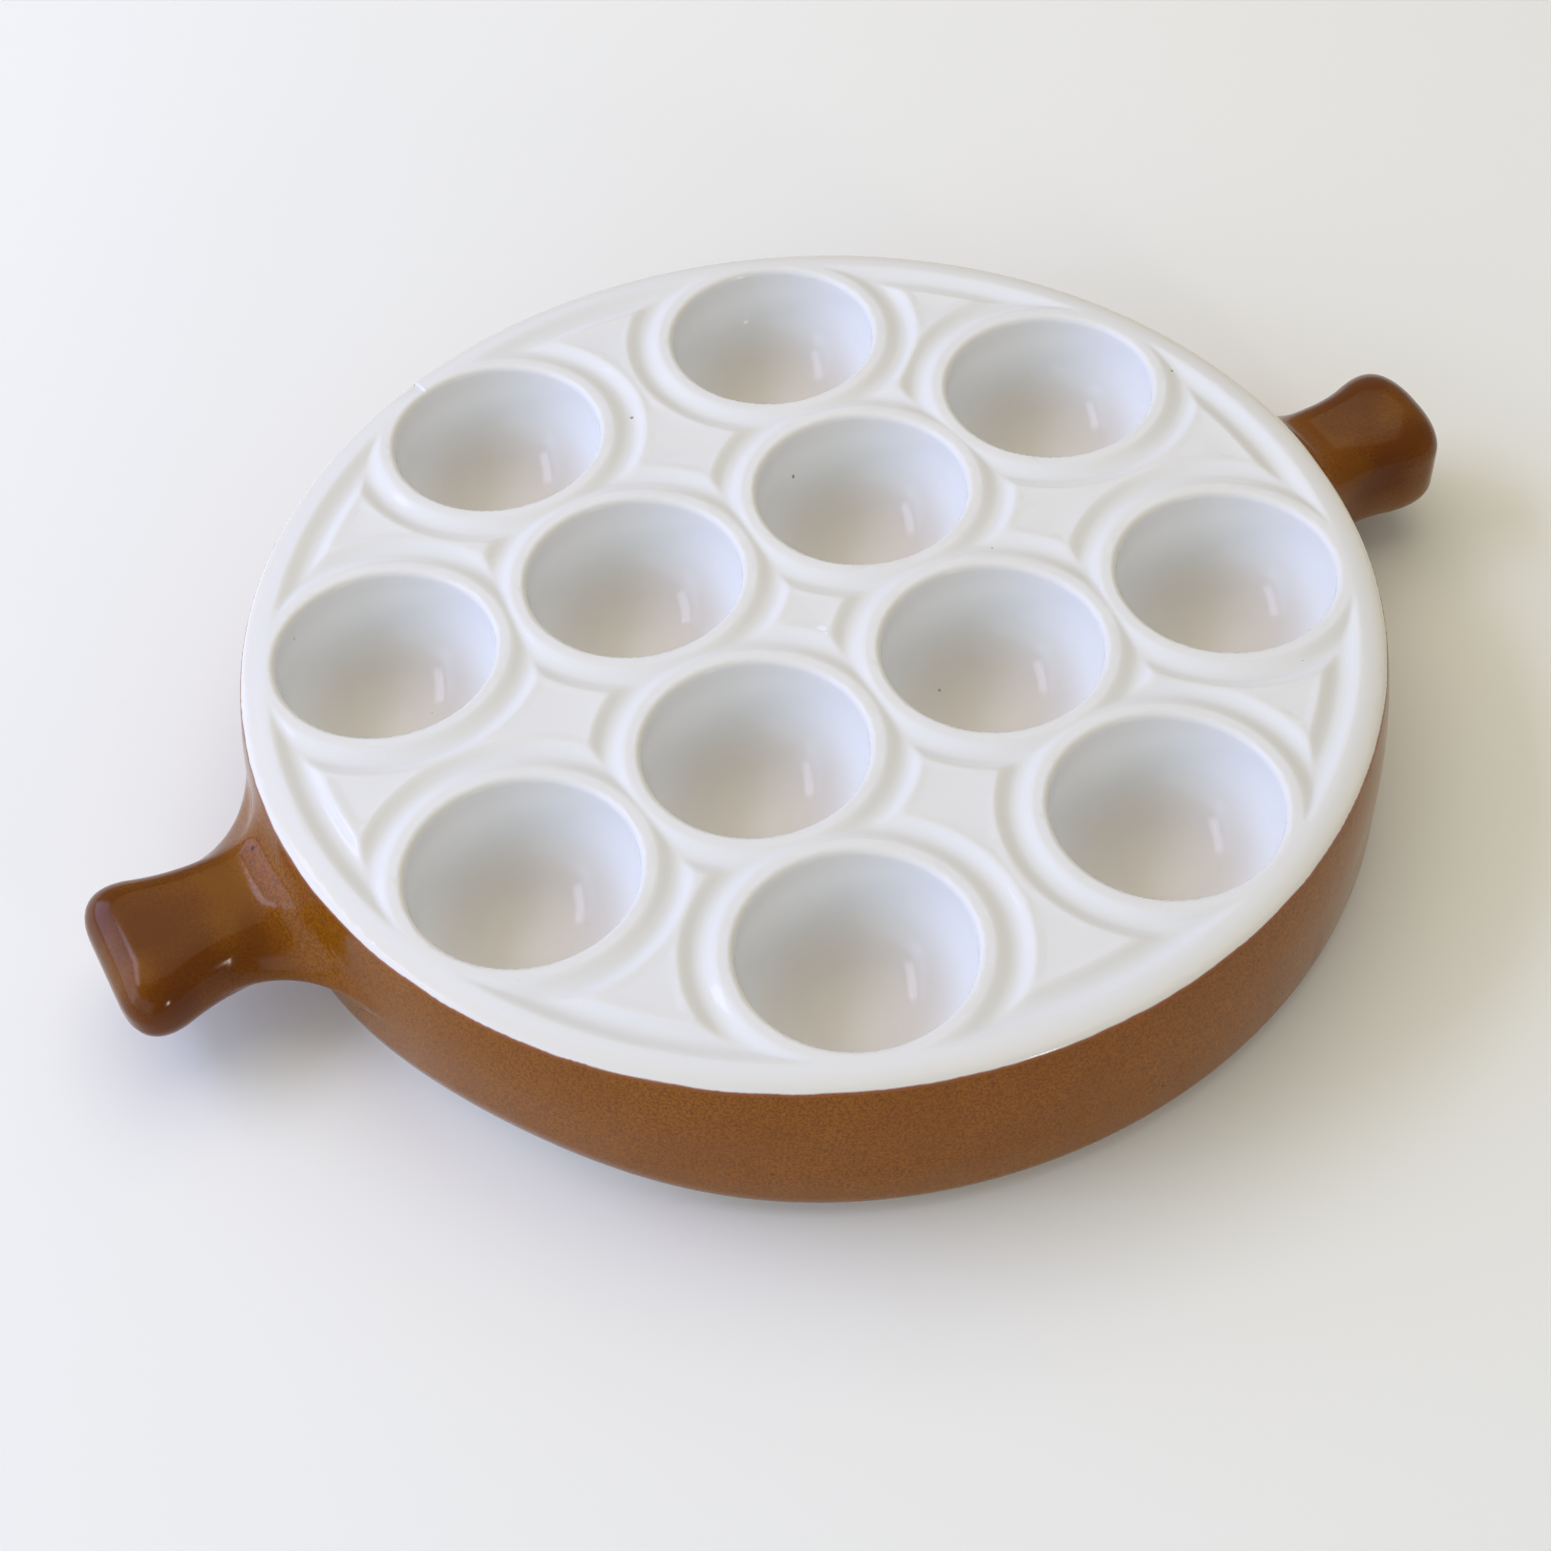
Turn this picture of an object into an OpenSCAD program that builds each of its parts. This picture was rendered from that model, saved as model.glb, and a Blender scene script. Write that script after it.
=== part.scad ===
// Two-handled escargot plate, one piece of glazed stoneware.
// A round dish with twelve snail wells: four round the centre and eight round the rim.
// Every well stands in a raised lip, grooves part the lips from flat panels, and two
// flared stub handles grow out of the side. The underside is open inside a flat foot.
// The origin is the middle of the foot, +Z is up and the handles lie along X.

/* [Dish] */
// Height from the foot to the crest of the lips
dish_h = 34; // [32:0.5:40]
// Radius of the white deck at its outer edge
deck_r = 100; // [97:0.5:110]
// Depth of the deck edge below the crest
edge_drop = 1; // [0.6:0.1:1.6]
// Width of the rounded shoulder between the crest and the deck edge
shoulder_w = 3.5; // [3:0.1:5]
// Distance that the side swells out past the deck edge
side_swell = 1.7; // [1.3:0.1:2.4]
// Depth of the widest level of the side below the deck edge
swell_drop = 16; // [13:0.5:20]
// Radius of the corner between side and foot
foot_corner_r = 5; // [3:0.5:7]
// Width of the flat ring that the plate stands on
foot_w = 4; // [3:0.5:6]
// Thickness of the deck from its crest to its underside
deck_t = 6; // [5.5:0.1:8]
// Distance that the hollow underside narrows from foot to deck
core_draft = 1.5; // [0.5:0.1:3]

/* [Wells] */
// Radius of a well at its opening
well_r = 19.4; // [18.6:0.1:20]
// Radius of the curve from the side of a well to its floor
well_curve_r = 17; // [14:0.5:18]
// Radius of the rounding over the mouth of a well
mouth_round_r = 2.2; // [1.6:0.1:2.6]
// Thickness of the clay round a well
well_wall_t = 4.5; // [3.5:0.1:5.5]
// Gap between the openings of two neighbouring inner wells
inner_gap = 7.6; // [6.6:0.1:9]
// Land between the opening of an outer well and the deck edge
rim_land = 6.5; // [5.8:0.1:8]

/* [Relief] */
// Width of the lip from the opening of a well to its groove
lip_w = 3; // [2.7:0.1:3.4]
// Width at the crest of the groove round a well
groove_w = 4.8; // [4:0.1:5.2]
// Depth of the grooves below the crest
groove_depth = 1.6; // [1:0.1:2]
// Width of the sloping flank on each side of a groove
flank_w = 1.9; // [1.2:0.1:2]
// Width of the rim from the deck edge to the rim groove
rim_w = 6.5; // [6:0.1:8]
// Width at the crest of the groove inside the rim
rim_groove_w = 5.4; // [4.2:0.1:6]

/* [Handles] */
// Reach of a handle past the deck edge
handle_reach = 34; // [32:0.2:42]
// Width of a handle at its neck
neck_w = 21.6; // [18:0.2:24]
// Width of a handle near its end
handle_end_w = 27; // [25:0.2:30]
// Distance from the end of a handle back to its neck
neck_setback = 20; // [18:0.1:21]
// Thickness of a handle
handle_t = 16; // [13:0.2:17]
// Height of the middle of a handle above the foot
handle_mid_z = 16.8; // [14:0.2:18]
// Radius of the rounding along the edges of a handle
handle_round_r = 5; // [3:0.1:6]
// Radius of the corners of a handle in plan
handle_corner_r = 9; // [5:0.1:10]
// Radius of the hollow between the neck and the side of the dish
neck_fillet_r = 14; // [11:0.2:15]
// Radius of the hollow where the top of the neck rises to the side
neck_rise_r = 7; // [5:0.2:7.6]
// Depth that the rise of the neck is sunk into the side
neck_rise_sink = 2; // [1.5:0.1:3]

/* [Damage] */
// Angle of the small chip on the rim, from the right handle
chip_angle = 114; // [0:1:360]
// Distance of the chip from the deck edge
chip_inset = 3.5; // [2.5:0.1:5]
// Length of the chip along the rim
chip_len = 4.4; // [2:0.1:6]
// Depth of the chip
chip_depth = 0.3; // [0.2:0.1:0.6]

/* [Hidden] */
// Facets of a full turn, for the preview mesh: small forms first, then the larger ones
$fn = 72;
dish_facets = 180;
side_arc_facets = 360;
hollow_facets = 120;
edge_facets = 48;
white_glaze = "#eeece6";
brown_glaze = "#8a5a26";
bare_clay = "#c9a883";
inner_wells = 4;
outer_wells = 8;
// A cut runs this far past the face that it opens
overcut = 1;

edge_z = dish_h - edge_drop;
side_r = deck_r + side_swell;
swell_z = edge_z - swell_drop;
foot_flat_r = side_r - foot_corner_r;
core_r = foot_flat_r - foot_w;
core_top_z = dish_h - deck_t;

// The side is one large arc, upright at the swell, that passes through the deck edge
side_arc_r = (pow(swell_drop, 2) + pow(side_swell, 2)) / (2 * side_swell);
// The shoulder is an arc that leaves the crest level and passes through the deck edge
shoulder_arc_r = (pow(shoulder_w, 2) + pow(edge_drop, 2)) / (2 * edge_drop);
crest_r = deck_r - shoulder_w;

inner_ring_r = (well_r + inner_gap / 2) / sin(180 / inner_wells);
outer_ring_r = deck_r - rim_land - well_r;
well_z = dish_h - mouth_round_r;
well_floor_r = well_r - well_curve_r;
lip_r = well_r + lip_w;
panel_gap_r = lip_r + groove_w;
rim_r = deck_r - rim_w;
panel_r = rim_r - rim_groove_w;

handle_end_x = deck_r + handle_reach;
neck_x = handle_end_x - neck_setback;
handle_top_z = handle_mid_z + handle_t / 2;
handle_bottom_z = handle_mid_z - handle_t / 2;
// The flare of a handle is an arc from the neck to the start of the end corner
flare_dx = neck_setback - handle_corner_r;
flare_dy = (handle_end_w - neck_w) / 2;
flare_r = (pow(flare_dx, 2) + pow(flare_dy, 2)) / (2 * flare_dy);
fillet_y = neck_w / 2 + neck_fillet_r;

function ring_point(r, a) = [r * cos(a), r * sin(a), 0];
well_places = concat(
    [for (i = [0:inner_wells - 1]) ring_point(inner_ring_r, 360 * (i + 0.5) / inner_wells)],
    [for (i = [0:outer_wells - 1]) ring_point(outer_ring_r, 360 * (i + 0.5) / outer_wells)]
);

// The body up to any height inside its swelling side and rounded foot corner
module side_form() {
    rotate_extrude($fn = dish_facets) {
        square([foot_flat_r, foot_corner_r + overcut]);
        intersection() {
            translate([foot_flat_r, foot_corner_r]) circle(foot_corner_r);
            square([side_r, foot_corner_r]);
        }
        translate([0, foot_corner_r]) square([side_r, swell_z - foot_corner_r]);
        intersection() {
            translate([side_r - side_arc_r, swell_z]) circle(side_arc_r, $fn = side_arc_facets);
            translate([0, swell_z]) square([side_r, dish_h + overcut - swell_z]);
        }
    }
}

// All that lies under the crest and its rounded shoulder
module deck_form() {
    rotate_extrude($fn = dish_facets) {
        square([crest_r, dish_h]);
        intersection() {
            translate([crest_r, dish_h - shoulder_arc_r]) circle(shoulder_arc_r, $fn = dish_facets);
            square([side_r + overcut, dish_h]);
        }
        square([side_r + overcut, edge_z - edge_drop / 2]);
    }
}

// One well: upright at the mouth, curving in to a small flat floor
module well_solid(wall) {
    rotate_extrude() {
        intersection() {
            translate([well_floor_r, 0]) circle(well_curve_r + wall);
            translate([0, -well_curve_r - wall]) square([well_r + wall, well_curve_r + wall]);
        }
        translate([0, -well_curve_r - wall]) square([well_floor_r, well_curve_r + wall]);
    }
}

// The rounded mouth that leads from the crest down into a well
module well_mouth() {
    rotate_extrude() difference() {
        square([well_r + mouth_round_r, mouth_round_r + overcut]);
        translate([well_r + mouth_round_r, 0]) circle(mouth_round_r);
    }
}

module well_cut() {
    well_solid(0);
    well_mouth();
}

// A flanked round form with its radius given at the crest, spreading by the flank width
// over the depth of a groove, and reaching from below the groove floor to above the crest
module flanked(crest_r, spread) {
    translate([0, 0, dish_h - 2 * groove_depth])
        cylinder(h = 4 * groove_depth, r1 = crest_r + 2 * spread, r2 = crest_r - 2 * spread);
}

// The nine panels between the grooves: a round plate less a flanked gap round each well
module panels() {
    difference() {
        flanked(panel_r, flank_w, $fn = dish_facets);
        for (place = well_places)
            translate(place) flanked(panel_gap_r, -flank_w);
    }
}

// All grooves in one cut: the ground inside the rim less the lips and the panels.
// Lips that nearly touch run together, so the grooves end there in points.
module grooves() {
    difference() {
        translate([0, 0, dish_h - groove_depth])
            cylinder(h = 2 * groove_depth, r1 = rim_r - flank_w, r2 = rim_r + flank_w, $fn = dish_facets);
        for (place = well_places)
            translate(place) flanked(lip_r, flank_w);
        panels();
    }
}

// Cuts the side of a handle to a hollow curve and leaves its edges rounded
module side_hollow(hollow_r) {
    translate([0, 0, handle_bottom_z - overcut]) rotate_extrude($fn = hollow_facets) difference() {
        square([hollow_r + handle_round_r, dish_h]);
        translate([hollow_r, overcut + handle_round_r])
            square([handle_round_r, handle_t - 2 * handle_round_r]);
        for (z = [handle_round_r, handle_t - handle_round_r])
            translate([hollow_r + handle_round_r, overcut + z]) circle(handle_round_r, $fn = edge_facets);
    }
}

// Outline of a handle from the side, with rounded ends and the rise to the dish
module handle_side_profile() {
    end_round_x = handle_end_x - handle_round_r;
    translate([core_r, handle_bottom_z]) square([end_round_x - core_r, handle_t]);
    translate([core_r, handle_bottom_z + handle_round_r])
        square([handle_end_x - core_r, handle_t - 2 * handle_round_r]);
    for (z = [handle_bottom_z + handle_round_r, handle_top_z - handle_round_r])
        translate([end_round_x, z]) circle(handle_round_r);
    rise_w = side_r - neck_rise_sink + neck_rise_r - core_r;
    translate([core_r, handle_top_z]) difference() {
        translate([0, -overcut]) square([rise_w, neck_rise_r + overcut]);
        translate([rise_w, neck_rise_r]) circle(neck_rise_r);
    }
}

// A length of handle with square sides, its top and end shaped by the side outline
module handle_block(from_x, to_x, w) {
    intersection() {
        translate([0, w / 2, 0]) rotate([90, 0, 0]) linear_extrude(w) handle_side_profile();
        translate([from_x, -w / 2, 0]) cube([to_x - from_x, w, dish_h]);
    }
}

// Outline of the end of a handle from above, raised to the height of the dish
module handle_end_plan() {
    corner_x = handle_end_x - handle_corner_r;
    corner_y = handle_end_w / 2 - handle_corner_r;
    translate([neck_x - overcut, -handle_end_w / 2, 0])
        cube([corner_x - neck_x + overcut, handle_end_w, dish_h]);
    translate([corner_x - overcut, -corner_y, 0])
        cube([handle_corner_r + overcut, 2 * corner_y, dish_h]);
    for (side = [-1, 1])
        translate([corner_x, side * corner_y, 0]) cylinder(h = dish_h, r = handle_corner_r);
}

// One handle: a flared lug on a waisted neck that blends into the side
module handle() {
    difference() {
        handle_block(core_r, neck_x, 2 * fillet_y);
        for (side = [-1, 1])
            translate([neck_x, side * fillet_y, 0]) side_hollow(neck_fillet_r);
    }
    difference() {
        intersection() {
            handle_block(neck_x, handle_end_x, handle_end_w);
            handle_end_plan();
        }
        for (side = [-1, 1])
            translate([neck_x, side * (neck_w / 2 + flare_r), 0]) side_hollow(flare_r);
    }
}

// The small chip in the rim, a shallow scoop
module rim_chip() {
    scoop_r = (pow(chip_len / 2, 2) + pow(chip_depth, 2)) / (2 * chip_depth);
    translate(ring_point(deck_r - chip_inset, chip_angle) + [0, 0, dish_h - chip_depth + scoop_r])
        sphere(scoop_r);
}

// The hollow underside, with the twelve wells hanging in it as bosses
module underside() {
    difference() {
        translate([0, 0, -overcut])
            cylinder(h = core_top_z + overcut, r1 = core_r, r2 = core_r - core_draft, $fn = dish_facets);
        for (place = well_places)
            translate(place + [0, 0, well_z]) well_solid(well_wall_t);
    }
}

module escargot_plate() {
    difference() {
        union() {
            intersection() {
                color(brown_glaze) side_form();
                color(white_glaze) deck_form();
            }
            color(brown_glaze) handle();
            color(brown_glaze) mirror([1, 0, 0]) handle();
        }
        color(bare_clay) underside();
        color(white_glaze) {
            for (place = well_places)
                translate(place + [0, 0, well_z]) well_cut();
            grooves();
        }
        color(bare_clay) rim_chip();
    }
}

escargot_plate();
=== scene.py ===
# Two-handled escargot plate in glazed stoneware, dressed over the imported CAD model.
# The plate is one fine mesh drawn from a smooth solid form: the same dish, wells, relief and
# handles as the CAD part, with the soft blends that glaze and casting give them.
import math

import bmesh
import bpy
import numpy as np
from mathutils import Matrix, Vector


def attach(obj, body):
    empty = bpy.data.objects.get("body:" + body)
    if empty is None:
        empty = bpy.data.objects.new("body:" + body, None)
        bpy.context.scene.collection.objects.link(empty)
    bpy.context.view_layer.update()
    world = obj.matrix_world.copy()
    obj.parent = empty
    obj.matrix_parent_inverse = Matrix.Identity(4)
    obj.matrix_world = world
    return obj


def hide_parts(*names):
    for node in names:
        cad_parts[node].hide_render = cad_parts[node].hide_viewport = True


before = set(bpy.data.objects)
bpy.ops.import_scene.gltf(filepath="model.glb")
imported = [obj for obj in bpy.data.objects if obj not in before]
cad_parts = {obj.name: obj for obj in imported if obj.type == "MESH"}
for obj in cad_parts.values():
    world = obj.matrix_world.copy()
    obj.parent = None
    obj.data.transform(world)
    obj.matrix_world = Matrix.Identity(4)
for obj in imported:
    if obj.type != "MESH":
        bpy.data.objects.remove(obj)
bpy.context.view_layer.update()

# Lengths of the plate are in millimetres, as in the CAD source, and the scene is in metres
MM = 0.001

# Dish
DISH_H = 34.0
DECK_R = 100.0
EDGE_DROP = 1.0
EDGE_Z = DISH_H - EDGE_DROP
FALL_START_R = 94.5
EDGE_ROUND_R = 0.9
SIDE_R = 101.7
SWELL_Z = 17.0
SIDE_ARC_R = 76.1
FOOT_CORNER_R = 5.0
CORE_R = 92.7
CORE_DRAFT = 1.5
CORE_TOP_Z = 28.0
CAST_ROUND_R = 2.0

# The foot corner is worn rounder on the side of the left handle
SOFT_CORNER_MORE = 6.5
SOFT_CORNER_TURN = math.radians(-150)
SOFT_CORNER_SPREAD = math.radians(20)

# Wells
WELL_R = 19.3
WELL_CURVE_R = 17.0
WELL_Z = 31.8
WELL_WALL_T = 4.5
MOUTH_ROUND_R = 1.2
INNER_RING_R = 32.81
OUTER_RING_R = 74.1

# How far each well was cast off its even place, counted round from +X
INNER_WELLS_OFF = [(0.2, -0.4), (0.5, 0.5), (0.4, 0.3), (0.3, 0)]
OUTER_WELLS_OFF = [
    (-0.8, 0.8), (1.1, 0.5), (-0.5, 1.3), (-0.3, 0.6),
    (0.4, 1.0), (-0.3, 0.4), (1.4, 0.5), (0, 0),
]

# Relief, by distance from the opening of a well or from the rim line, which counts as at least
# RIM_NEAREST away
RIM_LINE_R = 98.0
GROOVE_AT = 6.0
GROOVE_DEPTH = 1.0
GROOVE_LIP_W = 3.6
GROOVE_PANEL_W = 3.2
PANEL_DIP = 0.16
PANEL_DIP_W = 1.5
RELIEF_BLEND = 2.2
RIM_NEAREST = 0.5


class Handle:
    """Named sizes of one handle: each came out of the mould a little different."""

    def __init__(self, **sizes):
        self.__dict__.update(sizes)


# A handle flares along a circle of flare_r, as far as this share of it, and then runs straight
FLARE_END = 0.8

LEFT_HANDLE = Handle(
    side=-1,
    end_x=134.0,
    end_slant=0.0,
    corner_r=9.8,
    mid_z=17.6,
    thickness=14.6,
    round_r=6.6,
    neck_x=112.45,
    neck_half_w=12.2,
    flare_r=33.0,
    shift_y=0.2,
    side_blend=21.5,
    top_blend=9.0,
    bottom_blend=7.0,
)
RIGHT_HANDLE = Handle(
    side=1,
    end_x=132.95,
    end_slant=0.10,
    corner_r=12.1,
    mid_z=16.3,
    thickness=20.0,
    round_r=6.2,
    neck_x=113.0,
    neck_half_w=10.5,
    flare_r=26.0,
    shift_y=-1.5,
    side_blend=14.0,
    top_blend=9.0,
    bottom_blend=7.2,
)

# Chip in the rim: its corner, the ends of its two broken edges, and where the mesh is finer for it
CHIP_CORNER = (-36.0, 92.9)
CHIP_RIM_END = (-43.6, 90.2)
CHIP_INNER_END = (-35.4, 88.0)
CHIP_DEPTH = 0.6
CHIP_EDGE_W = 0.15
CHIP_FADE = 3.0
CHIP_MIDDLE = (-39.0, 90.9)
CHIP_REACH = 9.0

# Mesh: settling points move at most MOST_MOVE at a time, and no slope's square counts as under FLATTEST.
# The grooves are then split finer, to REFINED_MORE past their flanks, and the chip to REFINED_DEPTH down
GRID_STEP = 0.85
MOST_MOVE = 0.4 * GRID_STEP
FLATTEST = 0.25
TRIANGLES = 112000
REFINED_MORE = 0.4
REFINED_DEPTH = 3.0

# Where the glaze runs thin or pools, by the surface's bending, and how near the hollow the underside is
THIN_BEND = (0.15, 0.75)
POOLED_BEND = (0.1, 0.5)
UNDERSIDE_NEAR = 1.2


def ring(radius, count):
    """Centres of wells spread evenly on a ring, the first half a step from +X."""
    turns = (np.arange(count) + 0.5) / count * 2 * math.pi
    return np.stack([radius * np.cos(turns), radius * np.sin(turns)], 1)


INNER_WELLS = ring(INNER_RING_R, 4) + INNER_WELLS_OFF
OUTER_WELLS = ring(OUTER_RING_R, 8) + OUTER_WELLS_OFF
WELLS = np.concatenate([INNER_WELLS, OUTER_WELLS])


def round_max(a, b, radius):
    """Overlap of two solids with its outer edge rounded."""
    corner = np.hypot(np.maximum(a + radius, 0), np.maximum(b + radius, 0))
    return np.minimum(np.maximum(a, b), -radius) + corner


def blend_min(a, b, width):
    """Union of two solids with a hollow blend where they meet."""
    near = np.maximum(width - np.abs(a - b), 0) / width
    return np.minimum(a, b) - near * near * width / 4


def ease(low, high, x):
    """A smooth step of x from low to high."""
    t = np.clip((x - low) / (high - low), 0, 1)
    return t * t * (3 - 2 * t)


def well_distance(x, y):
    """Distance from the axis of the nearest well."""
    nearest = np.full(np.broadcast(x, y).shape, np.inf)
    for wx, wy in WELLS:
        nearest = np.minimum(nearest, np.hypot(x - wx, y - wy))
    return nearest


def relief_distance(x, y):
    """Smooth distance from the openings of the wells and from the rim line."""
    r = np.hypot(x, y)
    total = np.exp(-RELIEF_BLEND * np.maximum(RIM_LINE_R - r, RIM_NEAREST))
    for wx, wy in WELLS:
        total = total + np.exp(-RELIEF_BLEND * (np.hypot(x - wx, y - wy) - WELL_R))
    return -np.log(total) / RELIEF_BLEND


def chip_drop(x, y):
    """Depth of the flake lost from the rim, deepest along its two broken edges."""
    corner = np.array(CHIP_CORNER)
    along = np.array(CHIP_RIM_END) - corner
    inner = np.array(CHIP_INNER_END) - corner
    along_len = np.hypot(*along)
    inner_len = np.hypot(*inner)
    dx = x - corner[0]
    dy = y - corner[1]
    from_side = (dy * inner[0] - dx * inner[1]) / inner_len
    on_rim = (dx * along[0] + dy * along[1]) / along_len
    on_side = (dx * inner[0] + dy * inner[1]) / inner_len
    broken = ease(-CHIP_EDGE_W, CHIP_EDGE_W, -from_side) * np.exp(np.minimum(from_side, 0) / CHIP_FADE)
    ends = ease(inner_len, inner_len * 0.5, on_side) * ease(along_len, along_len * 0.5, on_rim)
    return CHIP_DEPTH * broken * ends


def deck_height(x, y):
    """Height of the deck: lips and panels at the crest, grooves below, a fall to the edge."""
    off = relief_distance(x, y) - GROOVE_AT
    t = np.clip(off / np.where(off < 0, GROOVE_LIP_W, GROOVE_PANEL_W), -1, 1)
    groove = GROOVE_DEPTH * (1 - t * t) ** 2
    dip = PANEL_DIP * ease(GROOVE_PANEL_W, GROOVE_PANEL_W + PANEL_DIP_W, off)
    fall = np.maximum(np.hypot(x, y) - FALL_START_R, 0) / (DECK_R - FALL_START_R)
    return DISH_H - groove - dip - EDGE_DROP * fall ** 2 - chip_drop(x, y)


def foot_corner(x, y):
    """Radius of the foot's corner, larger round one side."""
    turn = np.arctan2(y, x) - SOFT_CORNER_TURN
    turn = (turn + math.pi) % (2 * math.pi) - math.pi
    return FOOT_CORNER_R + SOFT_CORNER_MORE * np.exp(-(turn / SOFT_CORNER_SPREAD) ** 2)


def side_form(r, z, corner_r):
    """Distance from the swelling side with its rounded foot corner."""
    foot_r = SIDE_R - corner_r
    arc_x = SIDE_R - SIDE_ARC_R
    upper = np.hypot(r - arc_x, np.maximum(z - SWELL_Z, 0)) - SIDE_ARC_R
    lower = np.hypot(np.maximum(r - foot_r, 0), np.minimum(z - corner_r, 0))
    corner = np.where(r > foot_r, lower - corner_r, -z)
    return np.where(z < corner_r, corner, upper)


def handle_form(x, y, z, handle):
    """Distance from a flared handle with rounded edges."""
    ax = x * handle.side
    run = np.clip(ax - handle.neck_x, 0, handle.flare_r * FLARE_END)
    root = np.sqrt(handle.flare_r ** 2 - run ** 2)
    half_w = handle.neck_half_w + handle.flare_r - root
    across = y - handle.shift_y
    flank = (np.abs(across) - half_w) / np.sqrt(1 + (run / root) ** 2)
    end = handle.end_x + handle.end_slant * across
    plan = round_max(flank, ax - end, handle.corner_r)
    level = np.abs(z - handle.mid_z) - handle.thickness / 2
    solid = round_max(plan, level, handle.round_r)
    return np.where(ax > 0, solid, solid + DECK_R - ax)


def blend_width(z, handle):
    """Width of the hollow blend from handle to side: wide beside it, tighter above and below."""
    half_t = handle.thickness / 2
    above = ease(handle.mid_z, handle.mid_z + half_t, z)
    below = ease(handle.mid_z, handle.mid_z - half_t, z)
    width = handle.side_blend + (handle.top_blend - handle.side_blend) * above
    return width + (handle.bottom_blend - handle.side_blend) * below


def well_form(rho, z, wall):
    """Distance from a bowl, upright at its mouth, or from its outside at a wall's thickness."""
    floor_r = WELL_R - WELL_CURVE_R
    return np.hypot(np.maximum(rho - floor_r, 0), np.minimum(z - WELL_Z, 0)) - WELL_CURVE_R - wall


def hollow_form(rho, r, z):
    """The open underside, with the wells hanging in it as bosses."""
    wall = r - (CORE_R - CORE_DRAFT * z / CORE_TOP_Z)
    core = round_max(wall, z - CORE_TOP_Z, CAST_ROUND_R)
    return -blend_min(-core, well_form(rho, z, WELL_WALL_T), 2 * CAST_ROUND_R)


def plate_form(x, y, z):
    """The whole plate as one smooth solid: negative inside, zero on its surface."""
    r = np.hypot(x, y)
    rho = well_distance(x, y)
    body = round_max(z - deck_height(x, y), side_form(r, z, foot_corner(x, y)), EDGE_ROUND_R)
    for handle in (LEFT_HANDLE, RIGHT_HANDLE):
        body = blend_min(body, handle_form(x, y, z, handle), blend_width(z, handle))
    body = round_max(body, -well_form(rho, z, 0), MOUTH_ROUND_R)
    return round_max(body, -hollow_form(rho, r, z), EDGE_ROUND_R)


def slopes(points, step=0.02):
    """Gradient of the plate's form at points."""
    x, y, z = points.T
    gx = plate_form(x + step, y, z) - plate_form(x - step, y, z)
    gy = plate_form(x, y + step, z) - plate_form(x, y - step, z)
    gz = plate_form(x, y, z + step) - plate_form(x, y, z - step)
    return np.stack([gx, gy, gz], 1) / (2 * step)


def bending(points, step=0.4):
    """Sum of the surface's curvatures: positive on edges, negative in hollows."""
    x, y, z = points.T
    total = -6 * plate_form(x, y, z)
    for axis in np.eye(3) * step:
        total += plate_form(x + axis[0], y + axis[1], z + axis[2])
        total += plate_form(x - axis[0], y - axis[1], z - axis[2])
    return total / step ** 2


def settle(points, rounds):
    """Moves points along the form's slope until they lie on its surface."""
    for _ in range(rounds):
        g = slopes(points)
        f = plate_form(*points.T)
        move = -(f / np.maximum((g * g).sum(1), FLATTEST))[:, None] * g
        length = np.linalg.norm(move, axis=1, keepdims=True)
        points = points + move * np.minimum(1, MOST_MOVE / np.maximum(length, 1e-9))
    return points


def cell_corner(grid, corner, cells):
    """The grid's value at one corner of every cell."""
    return grid[tuple(slice(c, c + n) for c, n in zip(corner, cells))]


def cell_crossings(values, inside):
    """For every cell, the sum of the places where its edges cross the surface, and their count."""
    cells = tuple(n - 1 for n in values.shape)
    total = np.zeros(cells + (3,))
    hits = np.zeros(cells)
    corners = [(i, j, k) for i in (0, 1) for j in (0, 1) for k in (0, 1)]
    edges = [(a, axis) for a in corners for axis in range(3) if a[axis] == 0]
    for a, axis in edges:
        b = tuple(1 if i == axis else a[i] for i in range(3))
        first = cell_corner(values, a, cells)
        second = cell_corner(values, b, cells)
        crossed = cell_corner(inside, a, cells) != cell_corner(inside, b, cells)
        share = np.where(crossed, first / np.where(crossed, first - second, 1), 0)
        for i in range(3):
            total[..., i] += np.where(crossed, a[i] + (share if i == axis else 0), 0)
        hits += crossed
    return total, hits


def cell_faces(inside, number, axis):
    """Four-sided faces round those grid edges along one axis that cross the surface."""
    u, v = (axis + 1) % 3, (axis + 2) % 3
    shape = [slice(1, n - 1) for n in inside.shape]
    shape[axis] = slice(0, inside.shape[axis] - 1)
    ahead = list(shape)
    ahead[axis] = slice(1, inside.shape[axis])
    first = inside[tuple(shape)]
    second = inside[tuple(ahead)]
    faces = []
    for wanted, order in ((first & ~second, 1), (~first & second, -1)):
        spot = np.argwhere(wanted)
        spot[:, u] += 1
        spot[:, v] += 1
        around = []
        for du, dv in ((1, 1), (0, 1), (0, 0), (1, 0))[::order]:
            cell = spot.copy()
            cell[:, u] -= du
            cell[:, v] -= dv
            around.append(number[tuple(cell.T)])
        faces.append(np.stack(around, 1))
    return faces


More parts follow.
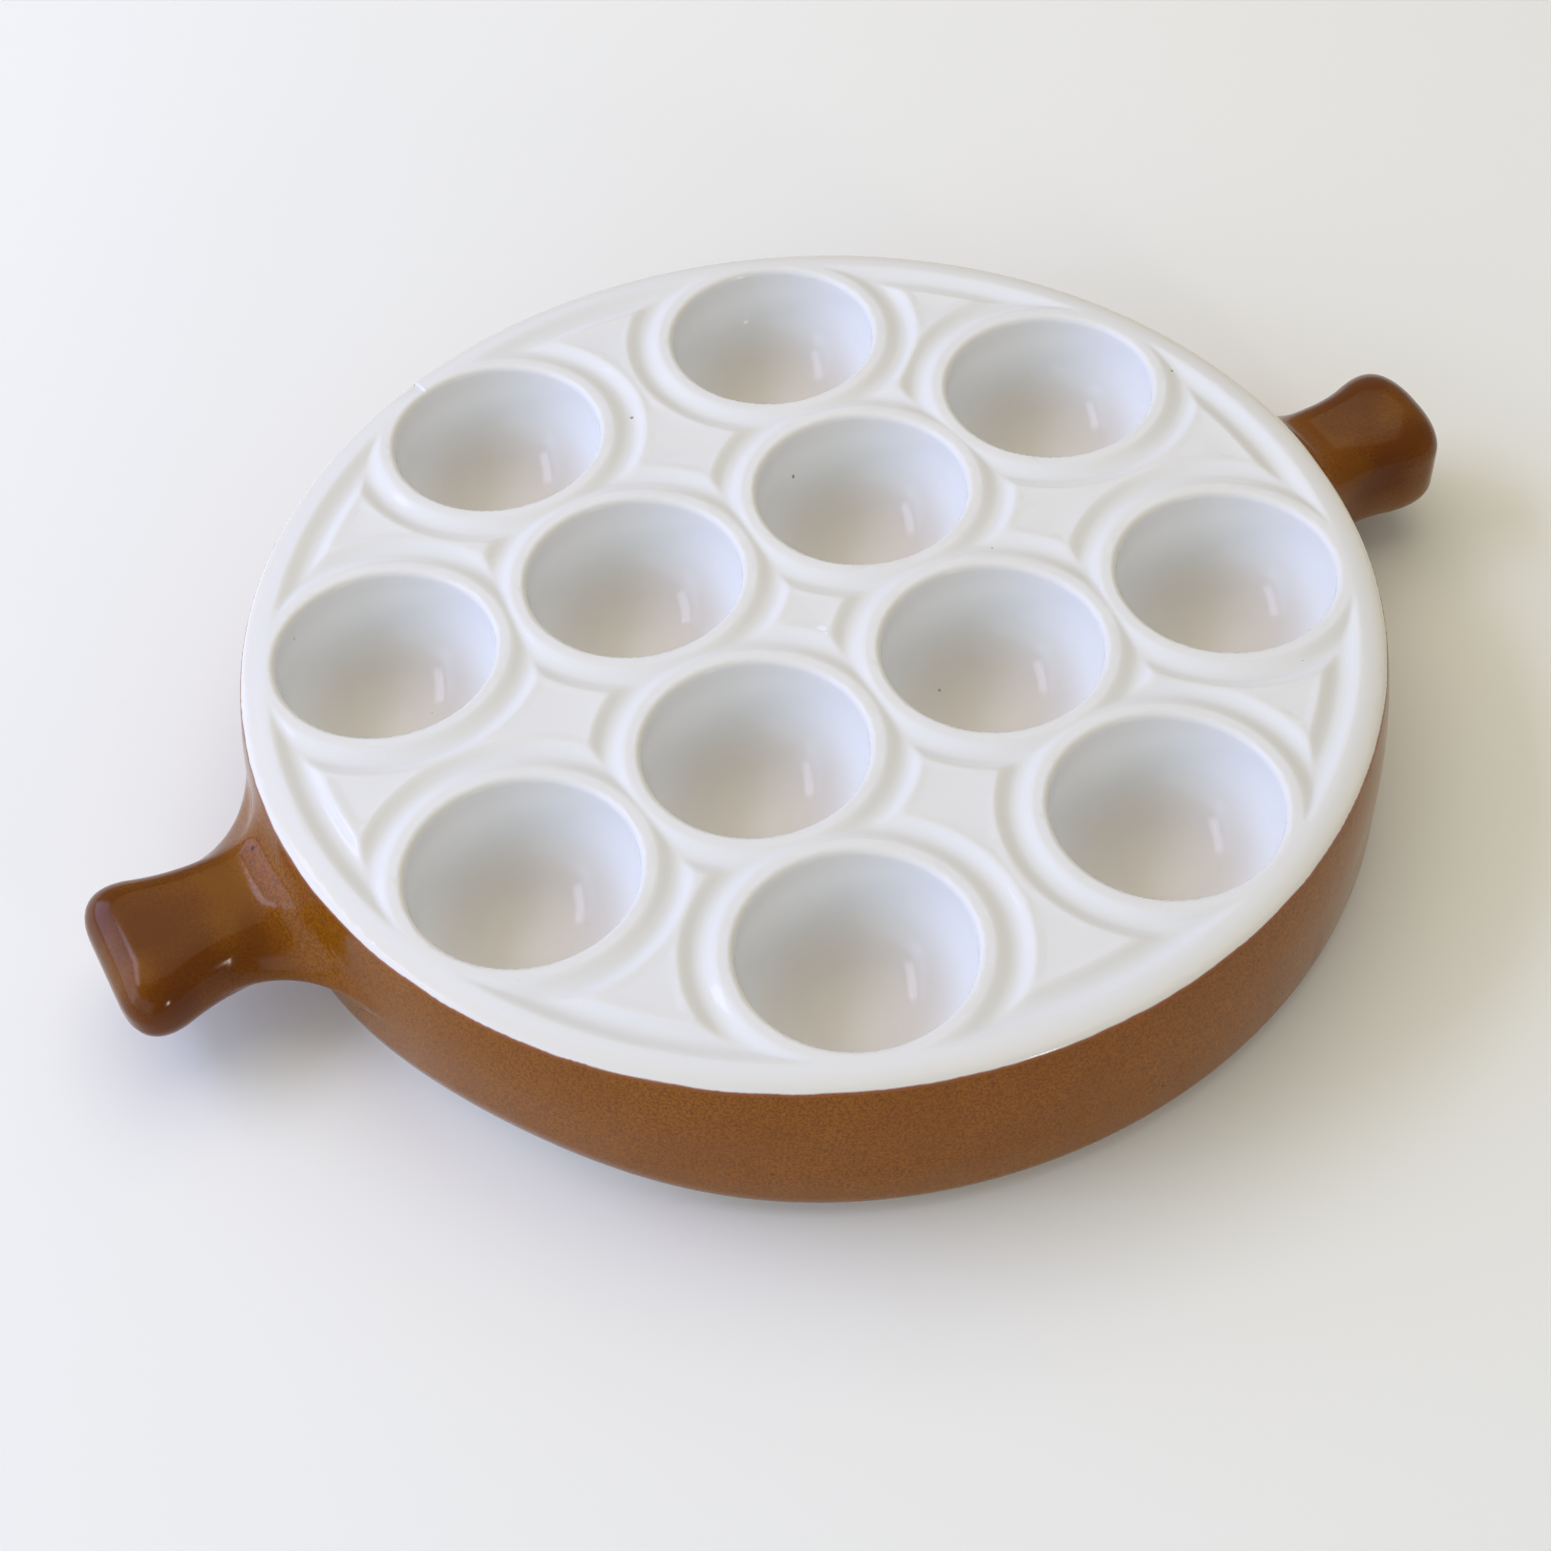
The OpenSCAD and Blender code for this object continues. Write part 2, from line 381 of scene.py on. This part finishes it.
def surface_net():
    """Points and four-sided faces of the form's surface on an even grid."""
    reach = np.array([LEFT_HANDLE.end_x, SIDE_R, DISH_H]) + 2 * GRID_STEP
    low = np.array([-reach[0], -reach[1], -2 * GRID_STEP])
    counts = np.ceil((reach - low) / GRID_STEP).astype(int) + 1
    xs, ys, zs = (low[i] + GRID_STEP * np.arange(counts[i]) for i in range(3))
    values = plate_form(xs[:, None, None], ys[None, :, None], zs[None, None, :])
    inside = values < 0
    total, hits = cell_crossings(values, inside)
    used = hits > 0
    number = np.full(hits.shape, -1)
    number[used] = np.arange(used.sum())
    place = np.argwhere(used)
    points = low + GRID_STEP * (place + total[used] / hits[used][:, None])
    faces = [part for axis in range(3) for part in cell_faces(inside, number, axis)]
    return points, np.concatenate(faces)


def mesh_from(name, points, faces):
    """A mesh from points in millimetres and faces with one number of corners."""
    mesh = bpy.data.meshes.new(name)
    mesh.vertices.add(len(points))
    mesh.vertices.foreach_set("co", (points * MM).astype(np.float32).ravel())
    mesh.loops.add(faces.size)
    mesh.loops.foreach_set("vertex_index", faces.astype(np.int32).ravel())
    mesh.polygons.add(len(faces))
    mesh.polygons.foreach_set("loop_start", np.arange(0, faces.size, faces.shape[1], dtype=np.int32))
    mesh.update(calc_edges=True)
    mesh.validate()
    return mesh


def mesh_points(mesh):
    """The mesh's points in millimetres."""
    co = np.zeros(len(mesh.vertices) * 3, np.float32)
    mesh.vertices.foreach_get("co", co)
    return co.reshape(-1, 3).astype(float) / MM


def thinned(obj, triangles):
    """Fewer triangles, kept dense where the surface curves."""
    count = sum(len(p.vertices) - 2 for p in obj.data.polygons)
    thin = obj.modifiers.new("thin", "DECIMATE")
    thin.ratio = triangles / count
    thin.use_collapse_triangulate = True
    shown = obj.evaluated_get(bpy.context.evaluated_depsgraph_get())
    result = bpy.data.meshes.new_from_object(shown)
    obj.modifiers.clear()
    obj.data = result


def refined(mesh, wanted, cuts):
    """Splits the edges whose both ends are wanted."""
    bm = bmesh.new()
    bm.from_mesh(mesh)
    bm.verts.ensure_lookup_table()
    edges = [e for e in bm.edges if wanted[e.verts[0].index] and wanted[e.verts[1].index]]
    bmesh.ops.subdivide_edges(bm, edges=edges, cuts=cuts, use_grid_fill=True)
    bmesh.ops.triangulate(bm, faces=bm.faces)
    bm.to_mesh(mesh)
    bm.free()


def on_relief(points):
    """Points of the deck that lie on the flanks of its grooves."""
    off = relief_distance(points[:, 0], points[:, 1]) - GROOVE_AT
    flank = (off > -GROOVE_LIP_W - REFINED_MORE) & (off < GROOVE_PANEL_W + REFINED_MORE)
    return flank & (points[:, 2] > DISH_H - GROOVE_DEPTH - EDGE_DROP)


def near_chip(points):
    """Points of the rim round the chip."""
    away = np.hypot(points[:, 0] - CHIP_MIDDLE[0], points[:, 1] - CHIP_MIDDLE[1])
    return (away < CHIP_REACH) & (points[:, 2] > DISH_H - REFINED_DEPTH)


def float_layer(mesh, name, values):
    """Keeps one value a point for the material to read."""
    layer = mesh.attributes.new(name, "FLOAT", "POINT")
    layer.data.foreach_set("value", values.astype(np.float32))


def glaze_layers(mesh, points):
    """What the material reads: where the glaze is thin, where it pools, and the underside."""
    bend = bending(points)
    r = np.hypot(points[:, 0], points[:, 1])
    rho = well_distance(points[:, 0], points[:, 1])
    under = hollow_form(rho, r, points[:, 2]) < UNDERSIDE_NEAR
    float_layer(mesh, "thin_glaze", ease(*THIN_BEND, bend))
    float_layer(mesh, "pooled_glaze", ease(*POOLED_BEND, -bend))
    float_layer(mesh, "underside", under.astype(float))


def form_normals(mesh, points):
    """Shades the mesh by the slopes of the smooth form."""
    normals = slopes(points)
    normals /= np.linalg.norm(normals, axis=1, keepdims=True)
    mesh.shade_smooth()
    mesh.normals_split_custom_set_from_vertices(normals.tolist())
    mesh.update()


def build_plate():
    """The plate's mesh: fewer triangles where it is flat, more on the relief and the chip."""
    points, faces = surface_net()
    points = settle(points, 2)
    obj = bpy.data.objects.new("glazed_plate", mesh_from("glazed_plate", points, faces))
    bpy.context.scene.collection.objects.link(obj)
    thinned(obj, TRIANGLES)
    refined(obj.data, on_relief(mesh_points(obj.data)), 1)
    refined(obj.data, near_chip(mesh_points(obj.data)), 2)
    points = settle(mesh_points(obj.data), 3)
    points[:, 2] = np.clip(points[:, 2], 0, DISH_H)
    obj.data.vertices.foreach_set("co", (points * MM).astype(np.float32).ravel())
    glaze_layers(obj.data, points)
    form_normals(obj.data, points)
    print("plate triangles", len(obj.data.polygons))
    return obj


def solid_colour(name, colour, roughness):
    """A plain material."""
    material = bpy.data.materials.new(name)
    material.use_nodes = True
    shader = material.node_tree.nodes["Principled BSDF"]
    shader.inputs["Base Color"].default_value = (*colour, 1)
    shader.inputs["Roughness"].default_value = roughness
    return material


# Colours of the glazes and the clay, and of the painted light and shade laid on them
WHITE_GLAZE = (0.785, 0.785, 0.80, 1)
WHITE_POOLED = (0.755, 0.775, 0.81, 1)
WHITE_THIN = (0.74, 0.68, 0.58, 1)
WHITE_SPECK = (0.34, 0.27, 0.21, 1)
RUST_LINE = (0.30, 0.10, 0.045, 1)
BROWN_LIGHT = (0.285, 0.096, 0.004, 1)
BROWN_DARK = (0.175, 0.053, 0.002, 1)
BROWN_HANDLE = (0.118, 0.029, 0.0005, 1)
BROWN_HANDLE_WARM = (0.178, 0.058, 0.001, 1)
# Painted reflection of the bright floor, paler and greyer, low on the side and on the handles
BROWN_PAINTED_FLOOR_REFLECTION = (0.26, 0.13, 0.06, 1)
# Painted light on the wells' upper walls, brighter and bluer, and painted shade on their floors, darker
# and warmer
WELL_WALL_PAINTED_LIGHT = (0.81, 0.825, 0.85, 1)
WELL_FLOOR_PAINTED_SHADE = (0.69, 0.655, 0.625, 1)
BROWN_SPECK = (0.05, 0.02, 0.008, 1)
BROWN_FLECK = (0.34, 0.17, 0.05, 1)
BARE_CLAY = (0.45, 0.33, 0.22, 1)

# Heights, radii and patterns of the glazes and of the painted light and shade, in millimetres: each pair
# is where a change starts and ends
# Where the painted light on the wells' walls and the painted shade on their floors fade in
PAINTED_LIGHT_WALL_Z = (32.0, 27.0)
PAINTED_SHADE_FLOOR_Z = (25.0, 16.0)
RIM_WARM_R = (96.2, 99.5)
OUTSIDE_R = (98.5, 99.5)
BROWN_Z = (EDGE_Z - 0.4, EDGE_Z - 0.65)
RUST_TOP_Z = (EDGE_Z - 0.3, EDGE_Z - 0.5)
RUST_LOW_Z = (EDGE_Z - 1.2, EDGE_Z - 0.7)
BORDER_WAVER = 0.5
ON_HANDLE_R = (103.0, 112.0)
# Heights where the painted reflection of the floor fades in, low on the handles and near the foot
LOW_HANDLE_REFLECTION_Z = (18.0, 9.0)
FOOT_REFLECTION_Z = (14.0, 1.0)
CLAY_Z = (1.3, 0.8)
WHITE_CLOUD = 26.0
BROWN_CLOUD = 14.0
BROWN_GRAIN = 0.45
HANDLE_PATCH = 13.0
BORDER_PATCH = 7.0
GLOSS_PATCH = 9.0
RIPPLE = 2.2
RIPPLE_H = 0.06
CLAY_GRIT = 0.35
CLAY_GRIT_H = 0.08


class Nodes:
    """Short calls that build one material's nodes."""

    def __init__(self, name):
        self.material = bpy.data.materials.new(name)
        self.material.use_nodes = True
        self.tree = self.material.node_tree
        self.shader = self.tree.nodes["Principled BSDF"]

    def put(self, socket, value):
        """Links a node's output to the socket, or sets the socket's own value."""
        if isinstance(value, bpy.types.NodeSocket):
            self.tree.links.new(value, socket)
        else:
            socket.default_value = value

    def add(self, kind, sockets, **settings):
        """A node with its inputs by number or name."""
        node = self.tree.nodes.new(kind)
        for key, value in settings.items():
            setattr(node, key, value)
        for key, value in sockets.items():
            self.put(node.inputs[key], value)
        return node

    def math(self, operation, a, b=0.0, c=0.0):
        return self.add("ShaderNodeMath", {0: a, 1: b, 2: c}, operation=operation).outputs[0]

    def fade(self, value, low, high, low_to=0.0, high_to=1.0):
        """A smooth step from low to high."""
        sockets = {0: value, 1: low, 2: high, 3: low_to, 4: high_to}
        return self.add("ShaderNodeMapRange", sockets, interpolation_type="SMOOTHSTEP").outputs[0]

    def mix(self, share, first, second):
        node = self.add("ShaderNodeMix", {0: share}, data_type="RGBA")
        self.put(node.inputs[6], first)
        self.put(node.inputs[7], second)
        return node.outputs[2]

    def band(self, place, ends, low_to=0.0, high_to=1.0):
        """A smooth step between two heights or radii in millimetres."""
        return self.fade(place, ends[0] * MM, ends[1] * MM, low_to, high_to)

    def noise(self, place, grain, detail=2.0):
        """Noise whose patches are about grain millimetres wide."""
        sockets = {"Vector": place, "Scale": 1 / (grain * MM), "Detail": detail}
        return self.add("ShaderNodeTexNoise", sockets).outputs["Fac"]

    def specks(self, place, spacing, size, share):
        """Round specks of one size in millimetres, in a share of the cells of a spacing."""
        sockets = {"Vector": place, "Scale": 1 / (spacing * MM)}
        cells = self.add("ShaderNodeTexVoronoi", sockets)
        pick = self.add("ShaderNodeSeparateColor", {0: cells.outputs["Color"]})
        chosen = self.math("LESS_THAN", pick.outputs[0], share)
        reach = self.math("MULTIPLY", pick.outputs[1], size / spacing)
        inner = self.math("MULTIPLY", reach, 0.5)
        sockets = {0: cells.outputs["Distance"], 1: inner, 2: reach, 3: 1.0, 4: 0.0}
        dot = self.add("ShaderNodeMapRange", sockets)
        return self.math("MULTIPLY", dot.outputs[0], chosen)

    def aside(self, place):
        """The same place moved aside, so that a second pattern differs from the first."""
        return self.add("ShaderNodeVectorMath", {0: place, 1: (0.013, 0.029, 0.017)}).outputs[0]

    def attribute(self, name):
        return self.add("ShaderNodeAttribute", {}, attribute_name=name).outputs["Fac"]


def white_glaze(n, place, radius, height):
    """The deck's glaze: warm where thin and cool in hollows, with painted light, brighter and bluer, on
    the wells' upper walls and painted shade, darker and warmer, on their floors.
    """
    cloud = n.noise(place, WHITE_CLOUD)
    thin = n.fade(n.attribute("thin_glaze"), 0.0, 1.0, 0.0, 0.2)
    pooled = n.fade(n.attribute("pooled_glaze"), 0.0, 1.0, 0.0, 0.4)
    colour = n.mix(n.fade(cloud, 0.3, 0.7, 0.0, 0.25), WHITE_GLAZE, WHITE_POOLED)
    colour = n.mix(pooled, colour, WHITE_POOLED)
    # Painted light on the upper walls of the wells, then painted shade on their floors
    colour = n.mix(n.band(height, PAINTED_LIGHT_WALL_Z), colour, WELL_WALL_PAINTED_LIGHT)
    colour = n.mix(n.band(height, PAINTED_SHADE_FLOOR_Z), colour, WELL_FLOOR_PAINTED_SHADE)
    warm = n.math("MAXIMUM", thin, n.band(radius, RIM_WARM_R, 0.0, 0.4))
    colour = n.mix(warm, colour, WHITE_THIN)
    return n.mix(n.specks(place, spacing=4.5, size=0.5, share=0.05), colour, WHITE_SPECK)


def brown_glaze(n, place, radius, height):
    """The side's glaze: grainy and flecked, darker and plainer on the handles, with a painted reflection
    of the floor that makes it paler and greyer near the foot and low on the handles.
    """
    cloud = n.noise(place, BROWN_CLOUD)
    grain = n.noise(place, BROWN_GRAIN, 3.0)
    colour = n.mix(n.fade(grain, 0.35, 0.65), BROWN_LIGHT, BROWN_DARK)
    colour = n.mix(n.fade(cloud, 0.3, 0.75, 0.0, 0.35), colour, BROWN_DARK)
    on_handle = n.band(radius, ON_HANDLE_R)
    off_handle = n.math("SUBTRACT", 1.0, on_handle)
    patch = n.math("MULTIPLY_ADD", grain, 0.5, n.noise(place, HANDLE_PATCH, 1.0))
    handle = n.mix(n.fade(patch, 0.62, 1.0), BROWN_HANDLE, BROWN_HANDLE_WARM)
    colour = n.mix(on_handle, colour, handle)
    # Painted reflection of the floor: paler and greyer near the foot and low on the handles
    foot = n.band(height, FOOT_REFLECTION_Z, 0.0, 0.5)
    low_handle = n.math("MULTIPLY", n.band(height, LOW_HANDLE_REFLECTION_Z, 0.0, 0.65), on_handle)
    share = n.math("MULTIPLY_ADD", foot, off_handle, low_handle)
    colour = n.mix(share, colour, BROWN_PAINTED_FLOOR_REFLECTION)
    fine = n.fade(n.specks(place, spacing=0.9, size=0.45, share=0.4), 0.0, 1.0, 0.0, 0.3)
    colour = n.mix(fine, colour, BROWN_SPECK)
    flecks = n.specks(n.aside(place), spacing=1.3, size=0.5, share=0.25)
    flecks = n.math("MULTIPLY", flecks, n.math("MULTIPLY", off_handle, 0.25))
    colour = n.mix(flecks, colour, BROWN_FLECK)
    large = n.specks(n.aside(place), spacing=7.0, size=0.7, share=0.15)
    return n.mix(large, colour, BROWN_SPECK)


def plate_places(n):
    """The place on the plate, its distance from the axis and its height, for the material."""
    place = n.add("ShaderNodeTexCoord", {}).outputs["Object"]
    parts = n.add("ShaderNodeSeparateXYZ", {0: place})
    level = {0: parts.outputs[0], 1: parts.outputs[1], 2: 0.0}
    flat = n.add("ShaderNodeCombineXYZ", level).outputs[0]
    radius = n.add("ShaderNodeVectorMath", {0: flat}, operation="LENGTH").outputs["Value"]
    return place, radius, parts.outputs[2]


def plate_material():
    """White glaze over brown, with a rust line where they meet and bare clay under the foot."""
    n = Nodes("two_glazes")
    place, radius, height = plate_places(n)
    noise = n.noise(place, BORDER_PATCH)
    waver = n.math("MULTIPLY_ADD", noise, BORDER_WAVER * MM, -BORDER_WAVER / 2 * MM)
    level = n.math("ADD", height, waver)
    outside = n.band(radius, OUTSIDE_R)
    under = n.fade(n.attribute("underside"), 0.3, 0.7)
    below = n.band(level, BROWN_Z)
    brown = n.math("MAXIMUM", n.math("MULTIPLY", outside, below), under)
    clay = n.band(level, CLAY_Z)
    line = n.math("MULTIPLY", n.band(level, RUST_TOP_Z), n.band(level, RUST_LOW_Z))
    line = n.math("MULTIPLY", line, outside)
    white = white_glaze(n, place, radius, height)
    colour = n.mix(brown, white, brown_glaze(n, place, radius, height))
    colour = n.mix(n.math("MULTIPLY", line, 0.7), colour, RUST_LINE)
    colour = n.mix(clay, colour, BARE_CLAY)
    n.put(n.shader.inputs["Base Color"], colour)
    gloss = n.fade(n.noise(place, GLOSS_PATCH), 0.3, 0.7, 0.07, 0.12)
    gloss = n.math("MULTIPLY_ADD", brown, 0.05, gloss)
    dull = n.math("MULTIPLY", clay, 0.8)
    n.put(n.shader.inputs["Roughness"], n.math("MAXIMUM", gloss, dull))
    n.shader.inputs["IOR"].default_value = 1.5
    n.shader.inputs["Specular IOR Level"].default_value = 0.2
    sockets = {"Strength": 0.25, "Distance": RIPPLE_H * MM, "Height": n.noise(place, RIPPLE)}
    ripple = n.add("ShaderNodeBump", sockets).outputs[0]
    grit = n.math("MULTIPLY", n.noise(place, CLAY_GRIT), clay)
    sockets = {"Strength": 0.6, "Distance": CLAY_GRIT_H * MM, "Height": grit, "Normal": ripple}
    n.put(n.shader.inputs["Normal"], n.add("ShaderNodeBump", sockets).outputs[0])
    return n.material


plate = build_plate()
plate.data.materials.append(plate_material())
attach(plate, "root")
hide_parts("escargot_plate")

# Floor
FLOOR_SIZE = 6.0
FLOOR_COLOUR = (0.885, 0.89, 0.88)


def add_floor():
    """A large square of pale paper."""
    half = FLOOR_SIZE / 2
    corners = [(-half, -half, 0), (half, -half, 0), (half, half, 0), (-half, half, 0)]
    mesh = bpy.data.meshes.new("floor")
    mesh.from_pydata(corners, [], [(0, 1, 2, 3)])
    mesh.materials.append(solid_colour("floor_paper", FLOOR_COLOUR, 0.9))
    obj = bpy.data.objects.new("floor", mesh)
    bpy.context.scene.collection.objects.link(obj)
    return obj


floor = add_floor()

# Camera, placed at the photograph's viewing angle
PHOTO_SIDE = 1551
FOCAL_PIXELS = 2638.0
PRINCIPAL = (777.0, 773.9)
ELEVATION = math.radians(49.59)
AZIMUTH = math.radians(-25.39)
ROLL = math.radians(-3.63)
CAMERA_DISTANCE = 440.6
TARGET = Vector((-22.23, -29.43, EDGE_Z))
SENSOR = 36.0


def add_camera():
    """The camera that was fitted to the photograph, with its lens in pixels of the photograph."""
    camera = bpy.data.cameras.new("camera")
    camera.sensor_width = SENSOR
    camera.lens = FOCAL_PIXELS / PHOTO_SIDE * SENSOR
    camera.shift_x = (PHOTO_SIDE / 2 - PRINCIPAL[0]) / PHOTO_SIDE
    camera.shift_y = (PRINCIPAL[1] - PHOTO_SIDE / 2) / PHOTO_SIDE
    camera.clip_start = 0.01
    obj = bpy.data.objects.new("camera", camera)
    bpy.context.scene.collection.objects.link(obj)
    level = math.cos(ELEVATION)
    back = Vector((math.sin(AZIMUTH) * level, -math.cos(AZIMUTH) * level, math.sin(ELEVATION)))
    across = Vector((0, 0, 1)).cross(back).normalized()
    over = back.cross(across)
    right = math.cos(ROLL) * across + math.sin(ROLL) * over
    up = math.cos(ROLL) * over - math.sin(ROLL) * across
    place = (TARGET + back * CAMERA_DISTANCE) * MM
    turn = Matrix((right, up, back)).transposed()
    obj.matrix_world = Matrix.Translation(place) @ turn.to_4x4()
    bpy.context.scene.camera = obj


# Directions level with the floor, as the photograph sees them
RIGHT = Vector((math.cos(AZIMUTH), math.sin(AZIMUTH), 0))
AHEAD = Vector((-math.sin(AZIMUTH), math.cos(AZIMUTH), 0))
UP = Vector((0, 0, 1))


def add_lamp(name, place, size, brightness, colour):
    """A soft rectangular lamp aimed at the plate, by the brightness of its face."""
    lamp = bpy.data.lights.new(name, "AREA")
    lamp.shape = "RECTANGLE"
    lamp.size, lamp.size_y = size
    lamp.energy = brightness * math.pi * size[0] * size[1]
    lamp.color = colour
    obj = bpy.data.objects.new(name, lamp)
    bpy.context.scene.collection.objects.link(obj)
    obj.location = place
    obj.rotation_euler = (-place).to_track_quat("-Z", "Y").to_euler()


def add_world(colour, strength):
    """An even light from all round."""
    world = bpy.data.worlds.new("studio")
    world.use_nodes = True
    background = world.node_tree.nodes["Background"]
    background.inputs["Color"].default_value = (*colour, 1)
    background.inputs["Strength"].default_value = strength
    bpy.context.scene.world = world


add_camera()
# A broad window low at the left with a bright skylight over it, a dim window nearer the camera, a warm
# ceiling, and a narrow low lamp behind the camera that only glints on rounded edges
add_lamp("window", RIGHT * -1.2 + AHEAD * 0.15 + UP * 0.5, (1.5, 0.8), 2.8, (0.45, 0.57, 1.0))
add_lamp("skylight", RIGHT * -0.84 + AHEAD * 0.14 + UP * 0.9, (0.75, 0.2), 8.0, (0.68, 0.70, 1.0))
add_lamp("front_window", RIGHT * -0.8 + AHEAD * -0.9 + UP * 0.5, (1.7, 0.8), 1.15, (0.70, 0.84, 1.0))
add_lamp("ceiling", RIGHT * -0.1 + AHEAD * 0.45 + UP * 1.3, (1.7, 1.5), 0.92, (1.0, 0.91, 0.66))
add_lamp("glint", RIGHT * 0.75 - AHEAD * 1.2 + UP * 0.36, (0.1, 0.2), 34.0, (1.0, 0.93, 0.85))
add_world((1.0, 0.96, 0.80), 0.385)
bpy.context.scene.view_settings.view_transform = "Standard"
